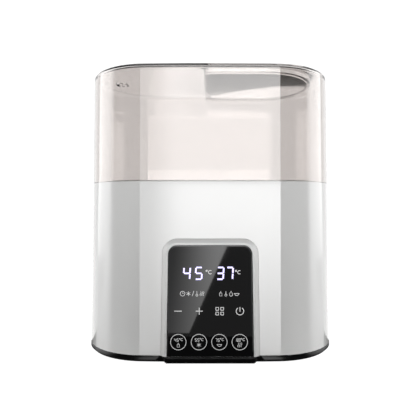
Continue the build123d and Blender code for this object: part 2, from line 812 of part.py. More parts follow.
block_x = 25.0
block_y = 20.0
block_length = 26.0
block_width = 10.0
block_height = 10.0
terminal_pitch = 8.0
terminal_hole_radius = 2.0
terminal_hole_depth = 3.0
terminal_row = block_y - 1.5
with BuildPart() as terminal_block:
    with BuildSketch(Plane.XY.offset(power_board_top)):
        with Locations((block_x, block_y)):
            Rectangle(block_length, block_width)
    extrude(amount=block_height)
    chamfer(terminal_block.faces().sort_by(Axis.Z)[-1].edges(), 0.6)
    with BuildSketch(Plane.XY.offset(power_board_top + block_height)):
        with Locations((block_x, terminal_row)):
            with GridLocations(terminal_pitch, 0, 3, 1):
                Circle(terminal_hole_radius)
    extrude(amount=-terminal_hole_depth, mode=Mode.SUBTRACT)
finish(terminal_block, "terminal_block")

# ---------------------------------------------------------------- power inlet at the back
inlet_flange = 2.0
inlet_body_depth = 20.0
inlet_body_width = 27.0
inlet_body_height = 20.0
socket_width = 24.0
socket_height = 16.0
socket_depth = 15.0
pin_length = 12.0
pin_pitch = 14.0
pin_width = 2.0
pin_height = 4.0
pin_gap = 0.2
pin_tail = 5.0               # the pins reach this far out of the inlet's back
side_pin_z = inlet_z - 2.0
earth_pin_z = inlet_z + 1.5
socket_chamfer = 4.0
flange_margin = 4.0

with BuildPart() as power_inlet:
    with BuildSketch(Plane.XZ.offset(-inlet_face)):
        with Locations((inlet_x, inlet_z)):
            RectangleRounded(inlet_pad_width - flange_margin, inlet_pad_height - flange_margin, inlet_pad_corner)
    extrude(amount=-inlet_flange)
    fillet(power_inlet.faces().sort_by(Axis.Y)[-1].edges(), 0.8)
    with BuildSketch(Plane.XZ.offset(-inlet_face)):
        with Locations((inlet_x, inlet_z)):
            RectangleRounded(inlet_body_width, inlet_body_height, 1.5)
    extrude(amount=inlet_body_depth)
    with BuildSketch(Plane.XZ.offset(-inlet_face - inlet_flange)) as socket_face:
        with Locations((inlet_x, inlet_z)):
            Rectangle(socket_width, socket_height)
        chamfer(socket_face.vertices().group_by(Axis.Y)[-1], socket_chamfer)
    extrude(amount=inlet_flange + socket_depth, mode=Mode.SUBTRACT)
    with BuildSketch(Plane.XZ.offset(-inlet_face + socket_depth)):
        with Locations((inlet_x, side_pin_z)):
            with GridLocations(pin_pitch, 0, 2, 1):
                Rectangle(pin_width + pin_gap, pin_height + pin_gap)
        with Locations((inlet_x, earth_pin_z)):
            Rectangle(pin_width + pin_gap, pin_height + pin_gap)
    extrude(amount=inlet_body_depth, mode=Mode.SUBTRACT)
finish(power_inlet, "power_inlet")

with BuildPart() as inlet_pins:
    with BuildSketch(Plane.XZ.offset(-inlet_face + socket_depth - pin_length)):
        with Locations((inlet_x, side_pin_z)):
            with GridLocations(pin_pitch, 0, 2, 1):
                Rectangle(pin_width, pin_height)
        with Locations((inlet_x, earth_pin_z)):
            Rectangle(pin_width, pin_height)
    extrude(amount=pin_length + inlet_body_depth - socket_depth + pin_tail)
finish(inlet_pins, "inlet_pins")

# ---------------------------------------------------------------- leads held inside
lead_radius = 1.3
lead_level = power_board_top + block_height
pin_end = inlet_face - inlet_body_depth - pin_tail
lead_turn = block_y + 6.0
lead_end = lead_level - terminal_hole_depth + 0.2
pin_leads = [
    (-pin_pitch / 2, side_pin_z, -terminal_pitch),
    (0, earth_pin_z, 0),
    (pin_pitch / 2, side_pin_z, terminal_pitch),
]
with BuildPart() as inlet_leads:
    for pin_x, pin_z, slot_x in pin_leads:
        add(
            tube(
                [
                    (inlet_x + pin_x, pin_end, pin_z),
                    (inlet_x + pin_x, lead_turn, pin_z),
                    (block_x + slot_x, terminal_row, pin_z),
                    (block_x + slot_x, terminal_row, lead_end),
                ],
                [3.0, 1.8],
                lead_radius,
            )
        )
finish(inlet_leads, "inlet_leads")

ribbon_width = 16.0
ribbon_thickness = 1.0
ribbon_x = -10.0
ribbon_high = 34.0
plug_reach = 4.0
plug_height = 5.0
plug_margin = 3.0
ribbon_bend = 2.5
board_back = -housing_front - panel_proud + board_depth + board_thickness + 1.0
board_plug_y = -22.0
with BuildPart() as ribbon_plugs:
    with BuildSketch(Plane.XY.offset(ribbon_high - plug_height / 2)):
        with Locations((ribbon_x, board_back)):
            Rectangle(ribbon_width + plug_margin, plug_reach, align=(Align.CENTER, Align.MIN))
    extrude(amount=plug_height)
    with BuildSketch(Plane.XY.offset(power_board_top)):
        with Locations((ribbon_x, board_plug_y)):
            Rectangle(ribbon_width + plug_margin, plug_reach, align=(Align.CENTER, Align.MAX))
    extrude(amount=plug_height)
finish(ribbon_plugs, "ribbon_plugs")
with BuildPart() as ribbon_cable:
    with BuildSketch(Plane.YZ.offset(ribbon_x - ribbon_width / 2)):
        with BuildLine():
            FilletPolyline(
                (board_back + plug_reach, ribbon_high),
                (board_back + plug_reach + 5.0, ribbon_high),
                (board_plug_y - plug_reach - 6.0, power_board_top + plug_height / 2),
                (board_plug_y - plug_reach, power_board_top + plug_height / 2),
                radius=ribbon_bend,
            )
        trace(line_width=ribbon_thickness)
    extrude(amount=ribbon_width)
finish(ribbon_cable, "ribbon_cable")

right_lead_x = 24.0
left_lead_x = 5.0 - terminal_x
lead_start = terminal_level - terminal_length
with BuildPart() as heater_leads:
    add(
        tube(
            [
                (terminal_x, -element_half_width, lead_start),
                (terminal_x, -element_half_width, shield_level - 4.0),
                (right_lead_x, -element_half_width, shield_level - 4.0),
                (right_lead_x, -element_half_width, power_board_top + 15.6),
            ],
            2.0,
            lead_radius,
        )
    )
    add(
        tube(
            [
                (-terminal_x, -element_half_width, lead_start),
                (-terminal_x, -element_half_width, shield_level - 6.0),
                (left_lead_x, -element_half_width, shield_level - 10.0),
                (left_lead_x, -element_half_width, power_board_top),
            ],
            3.0,
            lead_radius,
        )
    )
finish(heater_leads, "heater_leads")
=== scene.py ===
# %% [markdown]
# # A two-bottle warmer, dressed in Blender
# The real object is a white moulded housing on a black base, with a black glass panel on its front and a
# clear cover that lifts off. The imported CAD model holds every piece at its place. This lesson keeps those
# places and gives the outer shells smooth surfaces, because a gloss white wall shows every facet, and gives
# each piece, seen or hidden, a finish with some life in it.

# %% Load the frame
import math

import bmesh
import bpy
import numpy as np
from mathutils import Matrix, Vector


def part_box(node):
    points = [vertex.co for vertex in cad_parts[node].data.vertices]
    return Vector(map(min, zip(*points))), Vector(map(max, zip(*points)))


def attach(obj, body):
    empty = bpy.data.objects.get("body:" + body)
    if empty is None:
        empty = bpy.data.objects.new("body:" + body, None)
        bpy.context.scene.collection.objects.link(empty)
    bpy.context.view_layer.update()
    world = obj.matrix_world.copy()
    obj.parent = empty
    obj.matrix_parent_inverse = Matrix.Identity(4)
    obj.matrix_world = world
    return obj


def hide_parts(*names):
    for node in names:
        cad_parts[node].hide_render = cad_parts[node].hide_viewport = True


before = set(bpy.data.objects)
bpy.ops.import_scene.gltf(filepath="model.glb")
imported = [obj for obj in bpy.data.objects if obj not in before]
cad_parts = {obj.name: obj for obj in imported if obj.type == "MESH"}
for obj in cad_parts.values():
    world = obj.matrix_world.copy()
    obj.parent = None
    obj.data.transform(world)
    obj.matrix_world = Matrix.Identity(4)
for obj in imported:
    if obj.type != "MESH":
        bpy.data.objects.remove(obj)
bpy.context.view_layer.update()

# %% [markdown]
# ## Measures
# Sizes are in millimetres, as on a drawing, and one factor turns them to metres at the end. The outline's
# width, depth and heights are read from the CAD pieces, so the new shells land where the old ones were.

# %% Driving measures
MM = 0.001
cover_low, cover_high = (np.array(corner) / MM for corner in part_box("clear_cover"))
housing_low = np.array(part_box("outer_housing")[0]) / MM
rim_level = cover_low[2]
cover_top = cover_high[2]
base_top = housing_low[2]
half_width = cover_high[0]
half_depth = cover_high[1]
crease_x = 61.0                 # where a long side meets a round end
side_bow = 1.2
cover_draft = math.tan(math.radians(0.6))
housing_draft = math.tan(math.radians(0.8))
housing_spread = (rim_level - base_top) * housing_draft
housing_wall = 2.8
cover_wall = 2.5
print(f"rim {2 * half_width:.0f} x {2 * half_depth:.0f} mm at {rim_level:.0f}, top at {cover_top:.1f}")

# %% [markdown]
# ## One outline for every shell
# Seen from above, every shell has the same outline: two long sides that bulge a little and two round ends,
# meeting in four crisp creases. It could be drawn once and offset with a modifier, but arcs are exact: an
# inset moves each arc along its own radius. A ring of points on it, stacked at many heights, makes a wall.

# %% The outline as four arcs
end_columns = 72                # points on each round end
side_columns = 44               # points on each long side


def arc_through(start, middle, end, count):
    """Points on the circle through three points, evenly spaced from start up to, but without, end."""
    (ax, ay), (bx, by), (cx, cy) = start, middle, end
    d = 2 * (ax * (by - cy) + bx * (cy - ay) + cx * (ay - by))
    ux = ((ax**2 + ay**2) * (by - cy) + (bx**2 + by**2) * (cy - ay) + (cx**2 + cy**2) * (ay - by)) / d
    uy = ((ax**2 + ay**2) * (cx - bx) + (bx**2 + by**2) * (ax - cx) + (cx**2 + cy**2) * (bx - ax)) / d
    radius = math.hypot(ax - ux, ay - uy)
    first = math.atan2(ay - uy, ax - ux)
    sweep = (math.atan2(cy - uy, cx - ux) - first) % (2 * math.pi)
    angles = first + sweep * np.arange(count) / count
    return np.column_stack([ux + radius * np.cos(angles), uy + radius * np.sin(angles)])


def outline(inset):
    """Closed ring of x, y: right end, back side, left end, front side, moved inwards by inset."""
    side = half_width - inset
    front = half_depth - inset
    corner = half_depth - side_bow - inset
    arcs = [
        arc_through((crease_x, -corner), (side, 0), (crease_x, corner), end_columns),
        arc_through((crease_x, corner), (0, front), (-crease_x, corner), side_columns),
        arc_through((-crease_x, corner), (-side, 0), (-crease_x, -corner), end_columns),
        arc_through((-crease_x, -corner), (0, -front), (crease_x, -corner), side_columns),
    ]
    return np.vstack(arcs)


print("points in a ring:", len(outline(0)), "spread over", np.ptp(outline(0), axis=0).round(1), "mm")

# %% [markdown]
# ## From rings to a mesh
# A stack of rings is a grid: rows up the profile, columns round the outline. The faces are worked out as
# whole arrays of indices. A row can join back to the first, as on a hollow wall, or each end can be closed
# by one flat face, as on a dish. Sharp creases are marked on the edges, so the shading breaks there.

# %% Mesh helpers
def to_object(name, points, faces, sharp_angle=30.0):
    """A mesh object from points in millimetres and faces, smooth except where faces meet at a steep angle."""
    mesh = bpy.data.meshes.new(name)
    mesh.from_pydata(np.asarray(points) * MM, [], [list(map(int, face)) for face in faces])
    mesh.validate()
    mesh.polygons.foreach_set("use_smooth", np.ones(len(mesh.polygons), bool))
    mesh.set_sharp_from_angle(angle=math.radians(sharp_angle))
    piece = bpy.data.objects.new(name, mesh)
    bpy.context.scene.collection.objects.link(piece)
    return piece


def grid_faces(rows, columns, closed):
    """Quads between the rows of a grid whose columns wrap round; closed joins the last row to the first."""
    row = np.arange(rows if closed else rows - 1)[:, None]
    column = np.arange(columns)[None, :]
    above = (row + 1) % rows
    beside = (column + 1) % columns
    corners = [
        row * columns + column,
        row * columns + beside,
        above * columns + beside,
        above * columns + column,
    ]
    return np.stack(np.broadcast_arrays(*corners), axis=-1).reshape(-1, 4)


def stack(name, rings, closed=True, sharp_angle=30.0):
    """Stacked rings (rows x columns x 3, in mm) as a wall that joins itself, or capped at both ends."""
    rings = np.asarray(rings)
    rows, columns = rings.shape[:2]
    faces = [list(face) for face in grid_faces(rows, columns, closed)]
    if not closed:
        faces.append(list(range(columns))[::-1])
        faces.append(list(range((rows - 1) * columns, rows * columns)))
    piece = to_object(name, rings.reshape(-1, 3), faces, sharp_angle)
    face_outwards(piece)
    return piece


def face_outwards(piece):
    """Turns every face of a closed shell outwards."""
    work = bmesh.new()
    work.from_mesh(piece.data)
    bmesh.ops.recalc_face_normals(work, faces=work.faces)
    work.to_mesh(piece.data)
    work.free()


def level_ring(xy, z):
    """A ring of x, y points at one height."""
    return np.column_stack([xy, np.full(len(xy), float(z))])


def mark_creases(piece):
    """Marks the edges up the four creases as sharp: both ends lie at x = crease_x, near a long side."""
    edges = np.empty(len(piece.data.edges) * 2, int)
    piece.data.edges.foreach_get("vertices", edges)
    places = np.empty(len(piece.data.vertices) * 3)
    piece.data.vertices.foreach_get("co", places)
    places = np.abs(places.reshape(-1, 3)) / MM
    on_crease = (np.abs(places[:, 0] - crease_x) < 0.01) & (places[:, 1] > half_depth - 8)
    along = on_crease[edges.reshape(-1, 2)].all(axis=1)
    attributes = piece.data.attributes
    sharp = attributes.get("sharp_edge") or attributes.new("sharp_edge", "BOOLEAN", "EDGE")
    values = np.zeros(len(along), bool)
    sharp.data.foreach_get("value", values)
    sharp.data.foreach_set("value", values | along)


def quarter(start_inset, start_level, inset_step, level_step, steps=6):
    """A quarter-round corner of a profile, leaving along the first step and ending along the second."""
    turn = np.linspace(0, math.pi / 2, steps + 1)
    return [
        (start_inset + inset_step * (1 - math.cos(angle)), start_level + level_step * math.sin(angle))
        for angle in turn
    ]


def cut(piece, cutters):
    """Cuts closed shapes out of a piece, keeps the result as plain mesh and removes the cutters."""
    for cutter in cutters:
        modifier = piece.modifiers.new("cut", "BOOLEAN")
        modifier.operation = "DIFFERENCE"
        modifier.solver = "EXACT"
        modifier.object = cutter
    depsgraph = bpy.context.evaluated_depsgraph_get()
    result = bpy.data.meshes.new_from_object(piece.evaluated_get(depsgraph))
    piece.modifiers.clear()
    piece.data = result
    result.set_sharp_from_angle(angle=math.radians(30))
    for cutter in cutters:
        bpy.data.objects.remove(cutter)


# %% [markdown]
# ## The panel's own plane
# The control panel leans back with the housing's draft, so its pieces are drawn on a plane of their own: u to
# the right, v up, and a depth behind the panel's front. The panel is an arch: straight sides that spread a
# little downwards, a flat top and two round corners.

# %% Panel plane and arch
lean = math.radians(0.8)
panel_proud = 3.5
panel_low = 7.7 - base_top
panel_high = 102.5 - base_top
panel_half_top = 36.0
panel_half_low = 37.2
panel_corner = 7.5
corner_steps = 10
panel_origin = np.array([0, -half_depth - housing_spread - panel_proud, base_top])
panel_up = np.array([0, math.sin(lean), math.cos(lean)])
panel_out = np.array([0, -math.cos(lean), math.sin(lean)])


def on_panel(uv, depth):
    """Points given by u, v on the panel's plane, moved back into the housing by a depth."""
    uv = np.asarray(uv, float)
    across = np.column_stack([uv[:, 0], np.zeros(len(uv)), np.zeros(len(uv))])
    return panel_origin + across + uv[:, 1:2] * panel_up - depth * panel_out


def arch(grow, low_grow, side_points=24):
    """The arch grown by an amount: two round top corners as quarter arcs, straight sides and foot."""
    slope = (panel_half_low - panel_half_top) / (panel_high - panel_low)
    low = panel_low - low_grow
    high = panel_high + grow
    half_low = panel_half_low + grow + slope * low_grow
    half_top = panel_half_top + grow
    radius = panel_corner + grow
    turn = np.linspace(0, math.pi / 2, corner_steps + 1)
    corner = np.column_stack([half_top - radius * (1 - np.cos(turn)), high - radius * (1 - np.sin(turn))])
    side_v = np.linspace(low, high - radius, side_points)[:-1]
    reach = (side_v - low) / (high - radius - low)
    side = np.column_stack([half_low + (half_top - half_low) * reach, side_v])
    right = np.vstack([side, corner])
    left = right[::-1] * [-1, 1]
    return np.vstack([right, left])


print("arch points:", len(arch(0, 0)), "width at foot", round(float(np.ptp(arch(0, 0)[:, 0])), 1), "mm")

# %% [markdown]
# ## The housing
# One white ABS moulding: a wall with a slight draft. Just below its top it turns inwards to carry the tank.
# It could be a cube with a bevel, but the profile below holds the wall, its upper edge and the inner ring in
# one closed loop. The openings for the panel and for the socket at the back are cut afterwards.

# %% Housing shell
top_ring = 10.0
edge_round = 0.25
tank_seat = 4.0
seat_level = rim_level - tank_seat
under_level = seat_level - housing_wall


def housing_inset(level):
    """How far inside the rim's outline the drafted wall stands at a height."""
    return (level - rim_level) * housing_draft


wall_levels = np.linspace(base_top + 8, rim_level - edge_round - 0.6, 9)
outer_levels = np.concatenate([[base_top, base_top + 0.4], wall_levels])
profile = [(housing_inset(z), z) for z in outer_levels]
profile += quarter(0.0, rim_level - edge_round, edge_round, edge_round)
profile += [(edge_round + 0.3, rim_level), (housing_wall - 0.2, rim_level), (housing_wall, rim_level - 0.2)]
profile += [(housing_wall, seat_level), (top_ring - 0.4, seat_level), (top_ring, seat_level - 0.4)]
profile += [(top_ring, under_level), (housing_wall + 0.6, under_level)]
profile += [(housing_wall + housing_inset(z), z) for z in np.linspace(under_level - 0.6, base_top, 6)]
housing_shell = stack("housing_shell", [level_ring(outline(inset), z) for inset, z in profile])

bezel_edge = 2.0
bezel_bevel = 3.5
bezel_gap = 0.15
opening_grow = bezel_edge + bezel_bevel + bezel_gap
opening = stack("opening", [on_panel(arch(opening_grow, 4.0), depth) for depth in (14.0, -6.0)], closed=False)
inlet_low, inlet_high = (np.array(corner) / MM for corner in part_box("power_inlet"))
inlet_middle = (inlet_low + inlet_high) / 2
socket_half = np.array([13.7, 10.2])    # half the width and height of the hole for the socket
socket_corners = np.array([[-1, -1], [1, -1], [1, 1], [-1, 1]]) * socket_half


def upright_ring(xz, middle, y):
    """A ring of x, z points round a middle, standing at one y."""
    return np.column_stack([middle[0] + xz[:, 0], np.full(len(xz), float(y)), middle[2] + xz[:, 1]])


hole_rings = [upright_ring(socket_corners, inlet_middle, y) for y in (half_depth - 6, half_depth + 8)]
socket_hole = stack("socket_hole", hole_rings, closed=False)
cut(housing_shell, [opening, socket_hole])
mark_creases(housing_shell)
print("housing faces:", len(housing_shell.data.polygons))


def rounded_rectangle(half_u, half_v, radius, steps=5):
    """A rectangle with quarter-round corners, anticlockwise from its lower right corner."""
    turn = np.linspace(0, math.pi / 2, steps + 1)
    arc = np.column_stack([np.cos(turn), np.sin(turn)]) * radius
    corners = []
    for quarter_turn, (su, sv) in zip(range(4), [(1, 1), (-1, 1), (-1, -1), (1, -1)]):
        c, s = round(math.cos(quarter_turn * math.pi / 2)), round(math.sin(quarter_turn * math.pi / 2))
        turned = arc @ np.array([[c, s], [-s, c]])
        corners.append(turned + [su * (half_u - radius), sv * (half_v - radius)])
    return np.vstack(corners)


flange_thickness = 2.0
pad_corner = 3.0
pad_half = np.array([18.0, 14.5])
pad_face = inlet_high[1] - flange_thickness
pad_back = half_depth - 0.5
pad_steps = [
    (pad_half, pad_back), (pad_half, pad_face - 0.4), (pad_half - 0.2, pad_face - 0.1),
    (pad_half - 0.4, pad_face), (socket_half + 0.2, pad_face), (socket_half, pad_face - 0.2),
    (socket_half, pad_back),
]
pad_rings = [upright_ring(rounded_rectangle(*half, pad_corner), inlet_middle, y) for half, y in pad_steps]
socket_pad = stack("socket_pad", pad_rings)

# %% [markdown]
# ## The clear cover
# A tall polycarbonate shell with a 2.5 mm wall. Its roof has a D-shaped grip recess on the right, and steam
# vents on the left. The roof is drawn as rings too: they start as the outline and end as the D. Both are seen
# from one point inside the D, and each column keeps its direction from there, so no faces cross.

# %% Cover shell
roof_round = 4.5
recess_depth = 6.0
recess_wall = 2.0
recess_half = 47.0
recess_start = -3.0
recess_end = 97.0
recess_corner = 5.0
recess_floor = cover_top - recess_depth
recess_eye = np.array([47.0, 0.0])


def recess_ring(grow):
    """The D of the grip recess, grown all round, with one point in the direction of each outline column."""
    half = recess_half + grow
    start = recess_start - grow
    round_centre = recess_end - recess_half
    turn = np.linspace(0, math.pi / 2, 12)
    radius = recess_corner + grow
    corner = np.column_stack([start + radius * (1 - np.sin(turn)), half - radius * (1 - np.cos(turn))])
    bend = np.linspace(-math.pi / 2, math.pi / 2, 90)
    nose = np.column_stack([round_centre + half * np.cos(bend), half * np.sin(bend)])
    top_run = np.column_stack([np.linspace(round_centre, start + radius, 40)[1:-1], np.full(38, half)])
    upper = np.vstack([top_run, corner])
    straight = np.column_stack([np.full(30, start), np.linspace(half - radius, radius - half, 32)[1:-1]])
    lower = upper[::-1] * [1, -1]
    shape = np.vstack([nose, upper, straight, lower]) - recess_eye
    shape_angle = np.arctan2(shape[:, 1], shape[:, 0])
    order = np.argsort(shape_angle)
    away = outline(roof_round) - recess_eye
    angle = np.arctan2(away[:, 1], away[:, 0])
    reach = np.interp(angle, shape_angle[order], np.hypot(*shape.T)[order], period=2 * math.pi)
    return recess_eye + reach[:, None] * np.column_stack([np.cos(angle), np.sin(angle)])


def cover_inset(level):
    """How far inside the rim's outline the cover's drafted wall stands at a height."""
    return (level - rim_level) * cover_draft


def wall_rings(thickness, top, rounding, lowest):
    """The rings of one side of the cover: up the wall, round the corner and on to the roof."""
    levels = np.concatenate([[lowest, lowest + 0.5], np.linspace(lowest + 10, top - rounding - 0.5, 8)])
    steps = [(thickness + cover_inset(z), z) for z in levels]
    steps += quarter(thickness + cover_inset(top), top - rounding, rounding, rounding, 10)
    steps += [(thickness + cover_inset(top) + rounding + 0.5, top)]
    return [level_ring(outline(inset), z) for inset, z in steps]


def recess_steps(steps):
    """Rings of the grip recess from grown D shapes and heights."""
    return [level_ring(recess_ring(grow), z) for grow, z in steps]


outer_side = wall_rings(0.0, cover_top, roof_round, rim_level + 0.4)
outer_side += recess_steps([
    (1.6, cover_top), (0.8, cover_top), (0.25, cover_top - 0.25), (0, cover_top - 0.8),
    (0, recess_floor + 1.0), (-0.3, recess_floor + 0.3), (-1.0, recess_floor), (-1.8, recess_floor),
])
under = cover_top - cover_wall
pocket_under = recess_floor - recess_wall
inner_side = wall_rings(cover_wall, under, roof_round - 1.5, rim_level + 0.4)
inner_side += recess_steps([
    (recess_wall + 0.8, under), (recess_wall, under - 0.4), (recess_wall, pocket_under + 0.8),
    (recess_wall - 0.25, pocket_under + 0.25), (recess_wall - 0.8, pocket_under),
])
edge_steps = [(cover_wall - 0.05, 0.1), (cover_wall - 0.2, 0.02), (0.2, 0.02), (0.05, 0.1)]
lower_edge = [level_ring(outline(inset), rim_level + lift) for inset, lift in edge_steps]
cover_shell = stack("cover_shell", inner_side[::-1] + lower_edge + outer_side, closed=False)

# %% Steam vents
vent_x = -89.0
vent_y = 4.0
vent_pitch = 4.5


def round_prism(x, y, half_u, half_v, radius):
    """A rounded upright prism through the cover's roof, to cut a vent with."""
    shape = rounded_rectangle(half_u, half_v, radius, 6) + [x, y]
    return stack("vent_cutter", [level_ring(shape, z) for z in (under - 1, cover_top + 1)], closed=False)


vents = [round_prism(vent_x - vent_pitch, vent_y, 1.5, 6.0, 1.45)]
for across in (0, 1):
    for along in (-1, 0, 1):
        vents.append(round_prism(vent_x + across * vent_pitch, vent_y + along * vent_pitch, 1.3, 1.3, 1.25))
cut(cover_shell, vents)
mark_creases(cover_shell)
print("cover faces:", len(cover_shell.data.polygons), "vents:", len(vents))

# %% [markdown]
# ## Bezel and glass
# The bezel is a white frame: it rises from the housing in a 45 degree bevel, ends in a flat 2 mm edge and
# steps down to the ledge that the glass lies on. A section carried round the arch makes it in one loop. The
# glass is a 2 mm plate with a softened edge, set 0.3 mm below the bezel's face.

# %% Panel bezel and glass
glass_sink = 0.3
bezel_section = [
    (5.5, 8.0), (5.5, 3.9), (5.42, 3.5), (5.2, 3.2), (2.35, 0.35), (2.1, 0.1), (1.8, 0.0), (0.45, 0.0),
    (0.2, 0.1), (0.1, 0.35), (0.1, 2.3), (-3.0, 2.3), (-3.0, 4.3), (2.0, 4.3), (2.0, 8.0),
]
# On the legs the foot stays level, so only the upper part of the arch grows with the section.
bezel_rings = [on_panel(arch(grow, 0.0 if grow > -1 else -3.0), depth) for grow, depth in bezel_section]
bezel_frame = stack("bezel_frame", bezel_rings)
glass_section = [(-0.4, 2.3), (0, 2.0), (0, 0.7), (-0.12, 0.42), (-0.4, 0.3), (-0.9, 0.3)]
touch_glass = stack("touch_glass", [on_panel(arch(g, g), d) for g, d in glass_section], closed=False)
print("bezel faces:", len(bezel_frame.data.polygons), "glass faces:", len(touch_glass.data.polygons))

# %% [markdown]
# ## Marks on the glass
# The real marks shine through clear windows in the black print. Here each is a thin layer just in front of
# the glass, drawn from short straight strokes and arcs with round ends. Words are left out: simple pictures
# of a clock, a thermometer, a bottle and so on stand in their places. Heights are measured up from the foot.

# %% Strokes
mark_depth = 0.28
mark_thickness = 0.05


def stroke_outline(path, width, closed=False):
    """The left and right edges of a stroke along a path: each point moved sideways by half the width."""
    path = np.asarray(path, float)
    if closed:
        ahead, behind = np.roll(path, -1, axis=0), np.roll(path, 1, axis=0)
    else:
        ahead, behind = np.vstack([path[1:], path[-1:]]), np.vstack([path[:1], path[:-1]])
    along = ahead - behind
    along /= np.linalg.norm(along, axis=1)[:, None]
    side = np.column_stack([-along[:, 1], along[:, 0]]) * width / 2
    return path + side, path - side


def strokes(name, paths, width, depth=mark_depth):
    """Thin flat strokes on the panel's plane, one for each path; a path is (points, closed)."""
    points, faces = [], []
    for path, closed in paths:
        left, right = stroke_outline(path, width, closed)
        count = len(left)
        first = sum(len(block) for block in points)
        levels = (depth, depth - mark_thickness)
        points += [on_panel(edge, level) for level in levels for edge in (left, right)]
        runs = range(count if closed else count - 1)
        for i in runs:
            j = (i + 1) % count
            low_left, low_right, high_left, high_right = (first + k * count for k in range(4))
            faces += [
                (high_left + i, high_right + i, high_right + j, high_left + j),
                (low_left + i, low_left + j, low_right + j, low_right + i),
                (low_left + i, high_left + i, high_left + j, low_left + j),
                (low_right + i, low_right + j, high_right + j, high_right + i),
            ]
        if not closed:
            for i in (0, count - 1):
                faces.append((low_left + i, low_right + i, high_right + i, high_left + i))
    piece = to_object(name, np.vstack(points), faces)
    face_outwards(piece)
    return piece


def circle(u, v, radius, start=0.0, end=360.0, steps=40):
    """Points on a circle or, between two angles in degrees, on an arc."""
    whole = end - start >= 360
    turn = np.radians(np.linspace(start, end, steps + 1)[: steps if whole else steps + 1])
    return np.column_stack([u + radius * np.cos(turn), v + radius * np.sin(turn)]), whole


def line(*points):
    """An open path through points."""
    return np.array(points, float), False


# %% Digits from seven segments
digit_width = 5.3
digit_height = 10.0
digit_slant = 0.06
segment_ends = {
    "a": ((0, 2), (1, 2)), "b": ((1, 2), (1, 1)), "c": ((1, 1), (1, 0)), "d": ((0, 0), (1, 0)),
    "e": ((0, 0), (0, 1)), "f": ((0, 1), (0, 2)), "g": ((0, 1), (1, 1)),
}
digit_segments = {"0": "abcdef", "1": "bc", "3": "abcdg", "4": "bcfg", "5": "acdfg", "7": "abc"}


def digit(character, u, v, width, height, gap=0.35):
    """The lit segments of one digit as short strokes, slanted a little."""
    paths = []
    for segment in digit_segments[character]:
        start, end = (np.array(e, float) * [width, height / 2] for e in segment_ends[segment])
        along = (end - start) / np.linalg.norm(end - start)
        ends = np.array([start + along * gap, end - along * gap])
        ends[:, 0] += ends[:, 1] * digit_slant
        paths.append((ends + [u, v], False))
    return paths


def number(text, u, v, width, height, pitch, gap=0.35):
    """Digits side by side, starting at u."""
    paths = []
    for place, character in enumerate(text):
        paths += digit(character, u + place * pitch, v, width, height, gap)
    return paths


digit_level = 66.2
lit_paths = number("45", -22.9, digit_level, digit_width, digit_height, 10.2)
lit_paths += number("37", 5.7, digit_level, digit_width, digit_height, 8.0)
lit_digits = strokes("lit_digits", lit_paths, 1.3, mark_depth - 0.02)
digit_glow = strokes("digit_glow", lit_paths, 1.9, mark_depth + 0.01)

# %% Signs, keys and mode rings
sign_level = 72.4
key_level = 39.0
mode_level = 12.7
mode_places = [-27.2, -9.6, 7.8, 25.2]


def degree_c(u, v, size):
    """A small ring and an open round letter for degrees Celsius."""
    ring = circle(u, v + size * 1.35, size * 0.3, steps=12)
    letter = circle(u + size * 1.5, v + size * 0.75, size * 0.75, 50, 310, 18)
    return [ring, letter]


def clock(u, v, size):
    """A ring with two hands."""
    return [circle(u, v, size, steps=20), line((u, v + size * 0.6), (u, v), (u + size * 0.5, v))]


def thermometer(u, v, size):
    """A stem over a bulb."""
    return [circle(u, v - size * 0.6, size * 0.42, steps=14), line((u, v - size * 0.2), (u, v + size))]


def drop(u, v, size):
    """A water drop: a round foot under a point."""
    return [line((u - size * 0.6, v - size * 0.1), (u, v + size), (u + size * 0.6, v - size * 0.1)),
            circle(u, v - size * 0.35, size * 0.65, 160, 380, 16)]


def bottle(u, v, size):
    """A feeding bottle: body, shoulder and teat."""
    return [line((u - size * 0.5, v + size * 0.3), (u - size * 0.5, v - size), (u + size * 0.5, v - size),
                 (u + size * 0.5, v + size * 0.3), (u - size * 0.5, v + size * 0.3)),
            line((u, v + size * 0.3), (u, v + size))]


def snowflake(u, v, size):
    """Three lines crossing."""
    reaches = [(size * math.cos(turn), size * math.sin(turn)) for turn in np.radians([30, 90, 150])]
    return [line((u - across, v - up), (u + across, v + up)) for across, up in reaches]


def bowl(u, v, size):
    """A half-round bowl with its rim."""
    body = circle(u, v + size * 0.2, size * 0.9, 180, 360, 14)
    rim = line((u - size * 1.2, v + size * 0.2), (u + size * 1.2, v + size * 0.2))
    return [body, rim]


def steam(u, v, size):
    """Three short wavy lines of steam."""
    rise = np.linspace(-1, 1, 9)
    wave = 0.25 * size * np.sin(rise * math.pi)
    lines = [np.column_stack([u + side * size * 0.7 + wave, v + rise * size]) for side in (-1, 0, 1)]
    return [(points, False) for points in lines]


sign_paths = degree_c(-3.0, sign_level - 1.7, 2.0) + degree_c(22.0, sign_level - 1.7, 1.9)
sign_marks = strokes("sign_marks", sign_paths, 0.55)
label_level = 53.9
label_paths = clock(-23.6, label_level, 2.0) + snowflake(-18.6, label_level, 1.9)
label_paths += [line((-15.4, label_level - 2.2), (-14.0, label_level + 2.2))]
label_paths += thermometer(-11.4, label_level, 2.1) + steam(-7.0, label_level, 1.8)
label_paths += bottle(9.0, label_level, 2.0) + thermometer(13.4, label_level, 2.1)
label_paths += drop(17.8, label_level, 2.1) + bowl(22.6, label_level - 0.3, 1.9)
label_marks = strokes("label_marks", label_paths, 0.45)
key_paths = [line((-30.6, key_level), (-24.2, key_level)), line((-12.4, key_level), (-6.4, key_level))]
key_paths += [line((-9.4, key_level - 3.0), (-9.4, key_level + 3.0))]
power_u = 25.4
key_paths += [circle(power_u, key_level, 3.2, 125, 415, 30)]
key_paths += [line((power_u, key_level - 0.4), (power_u, key_level + 3.4))]
square = np.array([[-1, -1], [1, -1], [1, 1], [-1, 1], [-1, -1]]) * 1.2
